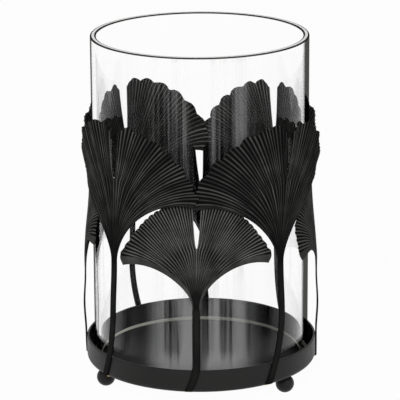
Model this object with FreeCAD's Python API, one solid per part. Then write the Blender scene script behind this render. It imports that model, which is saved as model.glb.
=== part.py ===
import FreeCAD, Part
import math
import os

from FreeCAD import Vector

# Hurricane candle lantern: a clear glass tube stands loose in a pressed steel tray on three ball
# feet, inside a ring of stamped ginkgo leaves whose stems are welded to the tray's outer wall.
# Millimetres, +Z up. The origin is on the table, under the middle of the tray. Angles are in
# degrees about +Z, from the front (-Y) towards the right (+X).

# Glass tube, open at both ends
GLASS_OUTER_DIAMETER = 110.0
GLASS_WALL = 3.0
GLASS_HEIGHT = 168.5
GLASS_EDGE_ROUND = 1.2

# Tray, pressed from one disc of sheet, with a low raised middle for the candle
TRAY_SHEET = 1.2
TRAY_HEIGHT = 12.0
TRAY_CORNER_RADIUS = 2.5
TRAY_RIM_ROUND = 0.5
GLASS_TO_TRAY_GAP = 2.8
PLATEAU_RISE = 0.8
PLATEAU_SLOPE_WIDTH = 1.0
GLASS_TO_PLATEAU_GAP = 4.0

# Ball feet, and the weld ring above each
FOOT_DIAMETER = 9.4
FOOT_INSET = 6.0
FOOT_ANGLES = {"front_right": 53.0, "back": 173.0, "front_left": -67.0}
FOOT_WELD_HEIGHT = 0.7
FOOT_WELD_LIP = 0.1
FOOT_WELD_FLARE = 0.8

# Leaf stock, shared by both stampings
LEAF_SHEET = 0.6
STEM_WIDTH = 3.8
STEM_CROWN = 0.25
STEM_BOW = 0.7
STEM_END_RISE = 1.1
STEM_SEAT_GAP = 0.02
MIDRIB_WIDTH = 0.3
FOLDS_PER_LOBE = 12
FOLD_HEIGHT = 0.2
FOLD_FADE_SHARE = 0.75
SCALLOP_DEPTH = 0.9
LOBE_CORNER_DROP = 2.0
GLASS_TO_LEAF_GAP = 0.4
LAYER_CLEARANCE = 0.1

# Weld bead across each stem's end
WELD_BEAD_DROP = 0.8
WELD_BEAD_BULGE = 0.3
WELD_BEAD_BITE = 0.2
WELD_BEAD_END_INSET = 0.2

# Large leaf. Its places are on the unrolled sheet, measured from the top of the stem.
LARGE_LEAF_ANGLES = {"front_left": -47.5, "front_right": 42.5, "back_right": 134.0, "back_left": -139.5}
LARGE_LEAN = 3.5
LARGE_WING_LEAN = -1.0
LARGE_JUNCTION_HEIGHT = 73.0
LARGE_LOBE_REACH = 49.6
LARGE_WING_REACH = 51.0
LARGE_FAN_CENTRE_RISE = 21.0
LARGE_FAN_SPREAD = 77.5
LARGE_BORDER_RISE = 12.5
LARGE_BORDER_REACH = 24.0
LARGE_BORDER_CREST = 37.2
LARGE_SLIT_FLOOR = 44.0
LARGE_SLIT_MOUTH = 6.0
LARGE_STEM_SWEEP = 7.8
LARGE_STEM_STRAIGHT = 25.0
LARGE_ROOT_INSET = 0.9
LARGE_TOP_FLARE = 0.9
LARGE_WING_SET = 36.0
LARGE_WING_FADE = (31.0, 51.0)
LARGE_LOBE_WAVE = 0.35

# Small leaf. Its top stands inside the ring of large ones and its wings stand out from it.
SMALL_LEAF_ANGLES = {"front": -2.3, "right": 90.0, "back": 178.0, "left": -90.0}
SMALL_LEANS = {"front": -1.5, "right": -4.5, "back": 1.0, "left": -7.5}
SMALL_JUNCTION_HEIGHT = 54.0
SMALL_LOBE_REACH = 43.0
SMALL_WING_REACH = 40.3
SMALL_FAN_CENTRE_RISE = 11.0
SMALL_FAN_SPREAD = 75.0
SMALL_BORDER_RISE = 11.0
SMALL_BORDER_REACH = 22.0
SMALL_BORDER_CREST = 26.0
SMALL_SLIT_FLOOR = 31.7
SMALL_SLIT_MOUTH = 5.6
SMALL_STEM_SWEEP = 4.2
SMALL_STEM_STRAIGHT = 28.0
SMALL_WING_STANDOFF = 3.4
SMALL_WING_SET = 33.0
SMALL_WING_FADE = (23.0, 38.0)

# Places worked out from the sizes above
GLASS_RADIUS = GLASS_OUTER_DIAMETER / 2
GLASS_BORE_RADIUS = GLASS_RADIUS - GLASS_WALL
TRAY_INNER_RADIUS = GLASS_RADIUS + GLASS_TO_TRAY_GAP
TRAY_RADIUS = TRAY_INNER_RADIUS + TRAY_SHEET
TRAY_UNDERSIDE = FOOT_DIAMETER
TRAY_FLOOR = TRAY_UNDERSIDE + TRAY_SHEET
TRAY_RIM = TRAY_UNDERSIDE + TRAY_HEIGHT
PLATEAU_FOOT_RADIUS = GLASS_BORE_RADIUS - GLASS_TO_PLATEAU_GAP
PLATEAU_RADIUS = PLATEAU_FOOT_RADIUS - PLATEAU_SLOPE_WIDTH
FOOT_RADIUS = FOOT_DIAMETER / 2
FOOT_CIRCLE_RADIUS = TRAY_RADIUS - FOOT_INSET
STEM_END = TRAY_UNDERSIDE + STEM_END_RISE
STEM_SEAT_RADIUS = TRAY_RADIUS + STEM_SEAT_GAP + LEAF_SHEET / 2
HALF_LOBE = FOLDS_PER_LOBE // 2

# How finely the leaf's rails are plotted
BLADE_STEPS = 4
STEM_STEPS = 9


def narrowest_gap(angles):
    """The smallest angle between neighbours in a ring, in radians."""
    ring = sorted(angles)
    following = ring[1:] + [ring[0] + 360]
    return math.radians(min(after - before for before, after in zip(ring, following)))


# The large leaves lap like a pinwheel: each rises along its arc, so that its right wing passes
# outside the next one's left wing. The small leaves' tops stand one layer inside that.
LAYER_STEP = LEAF_SHEET + FOLD_HEIGHT + LAYER_CLEARANCE
LARGE_SPIRAL = LAYER_STEP / (narrowest_gap(LARGE_LEAF_ANGLES.values()) * TRAY_RADIUS)
LARGE_ROOT_RADIUS = STEM_SEAT_RADIUS - LARGE_ROOT_INSET
LARGE_TOP_RADIUS = STEM_SEAT_RADIUS + LARGE_TOP_FLARE
SMALL_TOP_RADIUS = GLASS_RADIUS + GLASS_TO_LEAF_GAP + FOLD_HEIGHT + LEAF_SHEET / 2
SMALL_WING_RADIUS = STEM_SEAT_RADIUS + SMALL_WING_STANDOFF
LARGE_WING_RADIUS = SMALL_TOP_RADIUS + 1.5 * LAYER_STEP


def smooth(share):
    """An even ramp from 0 to 1 with level ends."""
    share = max(0.0, min(1.0, share))
    return share * share * (3 - 2 * share)


def between(start, end, share):
    return start + (end - start) * share


def on_sheet(radius, arc, height):
    """A point of the rolled leaf sheet, at an arc length from the leaf's axis at the front."""
    turn = arc / TRAY_RADIUS
    return Vector(radius * math.sin(turn), -radius * math.cos(turn), height)


def turned(shape, angle):
    """A copy of a shape, turned about the lantern's axis."""
    copy = shape.copy()
    copy.rotate(Vector(0, 0, 0), Vector(0, 0, 1), angle)
    return copy


class LeafForm:
    """One stamping. On each side of the slit, veins run from the top of the stem to the margin as
    cubic curves. Odd veins are pressed outwards and even ones inwards."""

    def __init__(self, junction, fan, border, slit, stem, radii, wings, leans, spiral=0.0, wave=0.0):
        self.junction = junction
        self.lobe_reach, self.wing_reach, self.fan_centre, spread = fan
        self.spread = math.radians(spread)
        self.border_rise, self.border_reach, self.border_crest = border
        self.slit_floor, self.slit_mouth = slit
        self.stem_sweep, self.stem_straight = stem
        self.root_radius, self.top_radius = radii
        self.wing_radius, self.wing_set, self.wing_fade = wings
        self.lean, self.wing_lean = (math.radians(lean) for lean in leans)
        self.spiral = spiral
        self.wave = wave
        self.top = self.fan_centre + self.lobe_reach
        self.slit_share = self.slit_floor / self.top

    def margin(self, vein):
        """The tip of a vein on the scalloped margin, on the flat sheet."""
        share = vein / FOLDS_PER_LOBE
        reach = between(self.lobe_reach, self.wing_reach, share)
        if vein in (0, FOLDS_PER_LOBE):
            reach -= LOBE_CORNER_DROP
        elif vein % 2 == 0:
            reach -= SCALLOP_DEPTH
        turn = self.spread * share
        return reach * math.sin(turn), self.fan_centre + reach * math.cos(turn)

    def flat_point(self, vein, along):
        """A point of a vein on the flat sheet, from the stem's top (0) to the margin (1)."""
        share = vein / FOLDS_PER_LOBE
        tip_x, tip_y = self.margin(vein)
        root_x = between(MIDRIB_WIDTH / 2, STEM_WIDTH / 2, share)
        xs = (root_x, root_x, between(root_x, self.border_reach, share), tip_x)
        lower_y = between(self.top / 3, self.border_rise, share)
        upper_y = between(self.top * 2 / 3, self.border_crest, share)
        ys = (0.0, lower_y, upper_y, tip_y)
        rest = 1 - along
        weights = (rest ** 3, 3 * rest ** 2 * along, 3 * rest * along ** 2, along ** 3)
        x = sum(weight * value for weight, value in zip(weights, xs))
        y = sum(weight * value for weight, value in zip(weights, ys))
        opened = max(0.0, along - self.slit_share) / (1 - self.slit_share)
        return x + self.slit_mouth / 2 * math.sqrt(opened) * (1 - share) ** 2, y

    def pressing(self, vein, along):
        """How far the die pushes a vein out of the plain sheet. The wing's border stays smooth."""
        share = vein / FOLDS_PER_LOBE
        fold = FOLD_HEIGHT if vein % 2 else -FOLD_HEIGHT
        fold *= 1 - smooth((share - FOLD_FADE_SHARE) / (1 - FOLD_FADE_SHARE))
        swell = self.wave * math.cos(2.5 * math.pi * share) * (1 - share ** 2) * along ** 2
        return fold * smooth(along / 0.35) + swell

    def crown(self, vein):
        """The stem's channel section: highest along its middle, level with the sheet at its edges."""
        return STEM_CROWN * (1 - (vein / FOLDS_PER_LOBE) ** 2)

    def bent_radius(self, arc, rise):
        """How far the bent blade stands from the axis. Its wings bend to a radius of their own."""
        radius = between(self.root_radius, self.top_radius, smooth(rise / self.top))
        wing = min(1.0, abs(arc) / self.wing_set) ** 2
        start, end = self.wing_fade
        fade = 1 - smooth((rise - start) / (end - start))
        return between(radius, self.wing_radius, wing * fade)

    def blade_point(self, side, vein, along, face):
        """A point of the blade. side is -1 left or +1 right, face is -1 inside or +1 outside."""
        x, y = self.flat_point(vein, along)
        settled = smooth(along / 0.4)
        lean = between(self.lean, self.wing_lean, (vein / FOLDS_PER_LOBE) ** 2) * settled
        arc = side * x * math.cos(lean) + y * math.sin(lean)
        rise = y * math.cos(lean) - side * x * math.sin(lean)
        radius = self.bent_radius(side * x, y) + self.spiral * arc * settled + self.pressing(vein, along)
        radius += self.crown(vein) * (1 - smooth(along / 0.3))
        return on_sheet(radius + face * LEAF_SHEET / 2, arc, self.junction + rise)

    def stem_point(self, side, vein, down, face):
        """A point of the stem, from the blade (0) to its welded end (1)."""
        length = self.junction - STEM_END
        fallen = length * down
        bend = max(0.0, fallen - self.stem_straight) / (length - self.stem_straight)
        offset = between(MIDRIB_WIDTH / 2, STEM_WIDTH / 2, vein / FOLDS_PER_LOBE)
        arc = side * offset - self.stem_sweep * bend ** 2
        free = max(0.0, 1 - fallen / (self.junction - TRAY_RIM))
        radius = between(STEM_SEAT_RADIUS, self.root_radius, smooth(free)) + self.crown(vein)
        radius += STEM_BOW * math.sin(math.pi * free) ** 2
        return on_sheet(radius + face * LEAF_SHEET / 2, arc, self.junction - fallen)

    def root_point(self, side, vein, face):
        """The start of a vein, on the straight top edge of the stem strip below it."""
        first = 0 if vein <= HALF_LOBE else HALF_LOBE
        start = self.stem_point(side, first, 0, face)
        end = self.stem_point(side, first + HALF_LOBE, 0, face)
        return start + (end - start) * ((vein - first) / HALF_LOBE)

    def rail(self, part, side, vein, face):
        """The smooth edge along one vein, in the stem or below or above the slit's floor."""
        if part == "stem":
            points = [self.stem_point(side, vein, step / STEM_STEPS, face) for step in range(STEM_STEPS + 1)]
        else:
            start, end = (0, self.slit_share) if part == "lower" else (self.slit_share, 1)
            points = [self.blade_point(side, vein, between(start, end, step / BLADE_STEPS), face)
                      for step in range(BLADE_STEPS + 1)]
        if part == "lower":
            points[0] = self.root_point(side, vein, face)
        curve = Part.BSplineCurve()
        curve.interpolate(points)
        return curve.toShape()


def far_end(edge):
    return edge.valueAt(edge.LastParameter)


def make_leaf(form):
    """One stamping at the front of the ring, skinned strip by strip between its veins."""
    blade_veins = [(-1, vein) for vein in range(FOLDS_PER_LOBE, -1, -1)]
    blade_veins += [(1, vein) for vein in range(FOLDS_PER_LOBE + 1)]
    stem_veins = [place for place in blade_veins if place[1] in (0, HALF_LOBE, FOLDS_PER_LOBE)]
    slit = ((-1, 0), (1, 0))
    rails = {}
    for part, veins in (("lower", blade_veins), ("upper", blade_veins), ("stem", stem_veins)):
        for place in veins:
            for face in (-1, 1):
                rails[part, place, face] = form.rail(part, *place, face)
    faces = []

    def add_skins(part, strip):
        for face in (-1, 1):
            faces.append(Part.makeRuledSurface(*(rails[part, place, face] for place in strip)))

    def add_end(part, strip):
        ends = [Part.LineSegment(*(far_end(rails[part, place, face]) for place in strip)).toShape()
                for face in (-1, 1)]
        faces.append(Part.makeRuledSurface(*ends))

    def add_side(part, place):
        faces.append(Part.makeRuledSurface(rails[part, place, -1], rails[part, place, 1]))

    for strip in zip(blade_veins, blade_veins[1:]):
        add_skins("lower", strip)
        if strip == slit:
            add_end("lower", strip)
        else:
            add_skins("upper", strip)
            add_end("upper", strip)
    for strip in zip(stem_veins, stem_veins[1:]):
        add_skins("stem", strip)
        add_end("stem", strip)
    for place in (blade_veins[0], blade_veins[-1]):
        for part in ("stem", "lower", "upper"):
            add_side(part, place)
    for place in slit:
        add_side("upper", place)
    skin = Part.makeCompound(faces)
    skin.sewShape(0.005)
    solid = Part.makeSolid(skin.Shells[0])
    if solid.Volume < 0:
        solid.reverse()
    return solid


def profile_line(*points):
    """Straight edges in the XZ plane through (radius, height) places."""
    places = [Vector(radius, 0, height) for radius, height in points]
    return [Part.LineSegment(*pair).toShape() for pair in zip(places, places[1:])]


def profile_arc(centre, radius, start, end):
    """A round corner in the XZ plane. Its angles are in degrees from +X towards +Z."""
    places = []
    for angle in (start, (start + end) / 2, end):
        turn = math.radians(angle)
        places.append(Vector(centre[0] + radius * math.cos(turn), 0, centre[1] + radius * math.sin(turn)))
    return [Part.Arc(*places).toShape()]


def revolved(edges):
    """The solid that a closed profile makes, turned once about the lantern's axis."""
    wire = Part.Wire(Part.__sortEdges__(edges))
    return Part.Face(wire).revolve(Vector(0, 0, 0), Vector(0, 0, 1), 360)


def make_glass():
    """The tube, with fire-polished edges."""
    inner, outer = GLASS_BORE_RADIUS, GLASS_RADIUS
    low, high = TRAY_FLOOR, TRAY_FLOOR + GLASS_HEIGHT
    soft = GLASS_EDGE_ROUND
    edges = profile_line((inner + soft, low), (outer - soft, low))
    edges += profile_arc((outer - soft, low + soft), soft, -90, 0)
    edges += profile_line((outer, low + soft), (outer, high - soft))
    edges += profile_arc((outer - soft, high - soft), soft, 0, 90)
    edges += profile_line((outer - soft, high), (inner + soft, high))
    edges += profile_arc((inner + soft, high - soft), soft, 90, 180)
    edges += profile_line((inner, high - soft), (inner, low + soft))
    edges += profile_arc((inner + soft, low + soft), soft, 180, 270)
    return revolved(edges)


def make_tray():
    """The pan: underside, round corner and wall, rim, inner wall and corner, floor and plateau."""
    slope = math.atan2(PLATEAU_RISE, PLATEAU_SLOPE_WIDTH)
    bend_shift = TRAY_SHEET * math.tan(slope / 2)
    corner = TRAY_CORNER_RADIUS
    inner_corner = TRAY_CORNER_RADIUS - TRAY_SHEET
    corner_centre = (TRAY_RADIUS - corner, TRAY_UNDERSIDE + corner)
    rim = TRAY_RIM_ROUND
    edges = profile_line((0, TRAY_FLOOR + PLATEAU_RISE), (0, TRAY_UNDERSIDE + PLATEAU_RISE),
                         (PLATEAU_RADIUS - bend_shift, TRAY_UNDERSIDE + PLATEAU_RISE),
                         (PLATEAU_FOOT_RADIUS - bend_shift, TRAY_UNDERSIDE),
                         (corner_centre[0], TRAY_UNDERSIDE))
    edges += profile_arc(corner_centre, corner, -90, 0)
    edges += profile_line((TRAY_RADIUS, corner_centre[1]), (TRAY_RADIUS, TRAY_RIM - rim))
    edges += profile_arc((TRAY_RADIUS - rim, TRAY_RIM - rim), rim, 0, 90)
    edges += profile_line((TRAY_RADIUS - rim, TRAY_RIM), (TRAY_INNER_RADIUS + rim, TRAY_RIM))
    edges += profile_arc((TRAY_INNER_RADIUS + rim, TRAY_RIM - rim), rim, 90, 180)
    edges += profile_line((TRAY_INNER_RADIUS, TRAY_RIM - rim), (TRAY_INNER_RADIUS, corner_centre[1]))
    edges += profile_arc(corner_centre, inner_corner, 0, -90)
    edges += profile_line((corner_centre[0], TRAY_FLOOR), (PLATEAU_FOOT_RADIUS, TRAY_FLOOR),
                          (PLATEAU_RADIUS, TRAY_FLOOR + PLATEAU_RISE), (0, TRAY_FLOOR + PLATEAU_RISE))
    return revolved(edges)


def bead_root(height):
    """Where the weld bead bites into the tray's round corner at a height."""
    drop = TRAY_UNDERSIDE + TRAY_CORNER_RADIUS - height
    bite = TRAY_CORNER_RADIUS - WELD_BEAD_BITE
    return TRAY_RADIUS - TRAY_CORNER_RADIUS + math.sqrt(bite ** 2 - drop ** 2)


def make_stem_weld(stem_sweep, tray):
    """The weld bead across a stem's end, laid in the corner between the stem and the tray."""
    top = Vector(STEM_SEAT_RADIUS + LEAF_SHEET / 2, 0, STEM_END)
    low = Vector(bead_root(STEM_END - WELD_BEAD_DROP), 0, STEM_END - WELD_BEAD_DROP)
    chord = top - low
    outwards = Vector(chord.z, 0, -chord.x).normalize()
    middle = (top + low) * 0.5 + outwards * WELD_BEAD_BULGE
    edges = profile_line((top.x, top.z), (bead_root(STEM_END), STEM_END), (low.x, low.z))
    edges.append(Part.Arc(low, middle, top).toShape())
    half_width = STEM_WIDTH / 2 - WELD_BEAD_END_INSET
    section = Part.Face(Part.Wire(Part.__sortEdges__(edges)))
    section.translate(Vector(0, -half_width, 0))
    bead = section.extrude(Vector(0, 2 * half_width, 0)).cut(tray)
    return turned(bead, -90 - math.degrees(stem_sweep / TRAY_RADIUS))


def make_foot():
    return Part.makeSphere(FOOT_RADIUS, Vector(0, -FOOT_CIRCLE_RADIUS, FOOT_RADIUS))


def make_foot_weld(foot):
    """The weld ring that fills the corner between a ball and the tray."""
    drop = FOOT_RADIUS - FOOT_WELD_HEIGHT
    low_radius = math.sqrt(FOOT_RADIUS ** 2 - drop ** 2) + FOOT_WELD_LIP
    base = Vector(0, -FOOT_CIRCLE_RADIUS, TRAY_UNDERSIDE - FOOT_WELD_HEIGHT)
    return Part.makeCone(low_radius, low_radius + FOOT_WELD_FLARE, FOOT_WELD_HEIGHT, base).cut(foot)


def make_large_leaf():
    fan = (LARGE_LOBE_REACH, LARGE_WING_REACH, LARGE_FAN_CENTRE_RISE, LARGE_FAN_SPREAD)
    border = (LARGE_BORDER_RISE, LARGE_BORDER_REACH, LARGE_BORDER_CREST)
    slit = (LARGE_SLIT_FLOOR, LARGE_SLIT_MOUTH)
    stem = (LARGE_STEM_SWEEP, LARGE_STEM_STRAIGHT)
    radii = (LARGE_ROOT_RADIUS, LARGE_TOP_RADIUS)
    wings = (LARGE_WING_RADIUS, LARGE_WING_SET, LARGE_WING_FADE)
    leans = (LARGE_LEAN, LARGE_WING_LEAN)
    return make_leaf(LeafForm(LARGE_JUNCTION_HEIGHT, fan, border, slit, stem, radii, wings, leans,
                              LARGE_SPIRAL, LARGE_LOBE_WAVE))


def make_small_leaf(lean):
    fan = (SMALL_LOBE_REACH, SMALL_WING_REACH, SMALL_FAN_CENTRE_RISE, SMALL_FAN_SPREAD)
    border = (SMALL_BORDER_RISE, SMALL_BORDER_REACH, SMALL_BORDER_CREST)
    slit = (SMALL_SLIT_FLOOR, SMALL_SLIT_MOUTH)
    stem = (SMALL_STEM_SWEEP, SMALL_STEM_STRAIGHT)
    radii = (STEM_SEAT_RADIUS, SMALL_TOP_RADIUS)
    wings = (SMALL_WING_RADIUS, SMALL_WING_SET, SMALL_WING_FADE)
    return make_leaf(LeafForm(SMALL_JUNCTION_HEIGHT, fan, border, slit, stem, radii, wings, (lean, lean)))


def make_lantern():
    """Every piece in its place, by node name."""
    tray = make_tray()
    foot = make_foot()
    foot_weld = make_foot_weld(foot)
    pieces = {"glass_chimney": make_glass(), "tray": tray}
    foot_welds = []
    for place, angle in FOOT_ANGLES.items():
        pieces["ball_foot_" + place] = turned(foot, angle)
        foot_welds.append(turned(foot_weld, angle))
    large_leaf = make_large_leaf()
    large_weld = make_stem_weld(LARGE_STEM_SWEEP, tray)
    stem_welds = []
    for place, angle in LARGE_LEAF_ANGLES.items():
        pieces["large_leaf_" + place] = turned(large_leaf, angle)
        stem_welds.append(turned(large_weld, angle))
    small_weld = make_stem_weld(SMALL_STEM_SWEEP, tray)
    for place, angle in SMALL_LEAF_ANGLES.items():
        pieces["small_leaf_" + place] = turned(make_small_leaf(SMALL_LEANS[place]), angle)
        stem_welds.append(turned(small_weld, angle))
    pieces["foot_welds"] = Part.makeCompound(foot_welds)
    pieces["stem_welds"] = Part.makeCompound(stem_welds)
    return pieces


os.makedirs("parts", exist_ok=True)
for node, shape in make_lantern().items():
    shape.exportStep("parts/" + node + ".step")
    print(node, len(shape.Solids), "solids", round(shape.Volume), "mm3", "valid" if shape.isValid() else "INVALID")
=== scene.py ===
import math

import bmesh
import bpy
from mathutils import Euler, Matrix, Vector


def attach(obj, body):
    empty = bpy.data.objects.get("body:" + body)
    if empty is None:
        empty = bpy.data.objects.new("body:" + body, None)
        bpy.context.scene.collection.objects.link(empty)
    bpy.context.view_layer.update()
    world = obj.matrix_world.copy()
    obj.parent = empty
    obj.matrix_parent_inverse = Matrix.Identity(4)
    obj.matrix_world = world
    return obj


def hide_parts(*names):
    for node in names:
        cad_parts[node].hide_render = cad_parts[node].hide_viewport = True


# Hurricane candle lantern: a clear glass tube in a black tray, inside a ring of stamped ginkgo leaves.
# The CAD pieces give the places. Sizes of the object are in millimetres and become metres in the meshes.

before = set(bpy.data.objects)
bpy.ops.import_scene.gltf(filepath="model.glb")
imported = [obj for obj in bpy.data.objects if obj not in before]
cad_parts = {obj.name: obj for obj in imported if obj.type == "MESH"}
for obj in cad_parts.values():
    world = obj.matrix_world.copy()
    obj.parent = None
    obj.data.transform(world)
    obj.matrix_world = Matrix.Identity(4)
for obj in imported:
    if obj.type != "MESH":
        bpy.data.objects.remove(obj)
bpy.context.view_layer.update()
MM = 0.001


def linear(code):
    """An sRGB hex colour as linear RGBA."""
    parts = [int(code[place:place + 2], 16) / 255 for place in (1, 3, 5)]
    return [part / 12.92 if part <= 0.04045 else ((part + 0.055) / 1.055) ** 2.4 for part in parts] + [1.0]


def add(tree, kind, inputs=None, **settings):
    """Adds a node with its settings, and sets or links its inputs by name or place. A Map Range node has its
    value at place 0, the range it comes from at 1 and 2, and the range it goes to at 3 and 4. A Mix node has
    its share at 0 and its two ends at 2 and 3 for numbers, 4 and 5 for vectors, and 6 and 7 for colours."""
    node = tree.nodes.new(kind)
    for name, value in settings.items():
        setattr(node, name, value)
    for place, value in (inputs or {}).items():
        if isinstance(value, bpy.types.NodeSocket):
            tree.links.new(value, node.inputs[place])
        else:
            node.inputs[place].default_value = value
    return node


def new_material(name):
    material = bpy.data.materials.new(name)
    material.use_nodes = True
    material.node_tree.nodes.clear()
    return material, material.node_tree


# Materials

# Most of a noise pattern's values lie between these two, and those of a noise along a line lie closer
NOISE_LOW = 0.3
NOISE_HIGH = 0.7
LINE_NOISE_LOW = 0.35
LINE_NOISE_HIGH = 0.65
COAT_RELIEF = 0.05 * MM
GLASS_INNER = 52.0
GLASS_OUTER = 55.0
GLASS_IOR = 1.51


def leaf_coat():
    """Matt black powder coat on stamped steel sheet. The cured powder leaves a fine grain, drawn coarse, at
    half a millimetre, so that it shows. Along the pressed ribs' crests the coat is drawn paler, a painted
    highlight for the light the ribs catch, stronger in some patches than in others. The grooves keep the
    coat's dark base colour."""
    patch, grain = 9 * MM, 0.5 * MM
    faintest_highlight, strongest_highlight = 0.5, 1.4
    smooth, dull = 0.66, 0.78
    material, tree = new_material("powder_coat_matt_black_on_stamped_steel")
    place = add(tree, "ShaderNodeTexCoord").outputs["Object"]
    patches = add(tree, "ShaderNodeTexNoise", {"Vector": place, "Scale": 1 / patch, "Detail": 4.0}).outputs[0]
    highlight_strength = add(tree, "ShaderNodeMapRange", {
        0: patches, 1: NOISE_LOW, 2: NOISE_HIGH, 3: faintest_highlight, 4: strongest_highlight}).outputs[0]
    crest_highlight = add(tree, "ShaderNodeAttribute", attribute_name="crest_highlight").outputs["Fac"]
    crest_highlight = add(tree, "ShaderNodeMath", {0: crest_highlight, 1: highlight_strength}, operation="MULTIPLY").outputs[0]
    # Painted highlight: the crests are drawn towards a pale grey, for light caught on the ribs
    colour = add(tree, "ShaderNodeMix", {
        0: crest_highlight, 6: linear("#0b0b0b"), 7: linear("#8a8a87")}, data_type="RGBA").outputs[2]
    rough = add(tree, "ShaderNodeMapRange", {
        0: patches, 1: NOISE_LOW, 2: NOISE_HIGH, 3: smooth, 4: dull}).outputs[0]
    grains = add(tree, "ShaderNodeTexNoise", {"Vector": place, "Scale": 1 / grain, "Detail": 2.0}).outputs[0]
    bump = add(tree, "ShaderNodeBump", {
        "Strength": 0.25, "Distance": COAT_RELIEF, "Height": grains}).outputs[0]
    paint = add(tree, "ShaderNodeBsdfPrincipled", {
        "Base Color": colour, "Roughness": rough, "Specular IOR Level": 0.03, "Normal": bump}).outputs[0]
    add(tree, "ShaderNodeOutputMaterial", {"Surface": paint})
    return material


def lacquer(name, pool, dark, pale, smooth, dull, peel, peel_strength, mirror):
    """Black lacquer sprayed on pressed steel. It lies in broad pools of slightly different black and gloss,
    under a slight orange peel. The pools and the peel are given by their size."""
    material, tree = new_material(name)
    place = add(tree, "ShaderNodeTexCoord").outputs["Object"]
    pools = add(tree, "ShaderNodeTexNoise", {"Vector": place, "Scale": 1 / pool, "Detail": 3.0}).outputs[0]
    colour = add(tree, "ShaderNodeMix", {
        0: pools, 6: linear(dark), 7: linear(pale)}, data_type="RGBA").outputs[2]
    rough = add(tree, "ShaderNodeMapRange", {
        0: pools, 1: NOISE_LOW, 2: NOISE_HIGH, 3: smooth, 4: dull}).outputs[0]
    dimples = add(tree, "ShaderNodeTexNoise", {"Vector": place, "Scale": 1 / peel, "Detail": 1.0}).outputs[0]
    bump = add(tree, "ShaderNodeBump", {
        "Strength": peel_strength, "Distance": COAT_RELIEF, "Height": dimples}).outputs[0]
    paint = add(tree, "ShaderNodeBsdfPrincipled", {
        "Base Color": colour, "Roughness": rough, "Specular IOR Level": mirror, "Normal": bump}).outputs[0]
    add(tree, "ShaderNodeOutputMaterial", {"Surface": paint})
    return material


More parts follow.
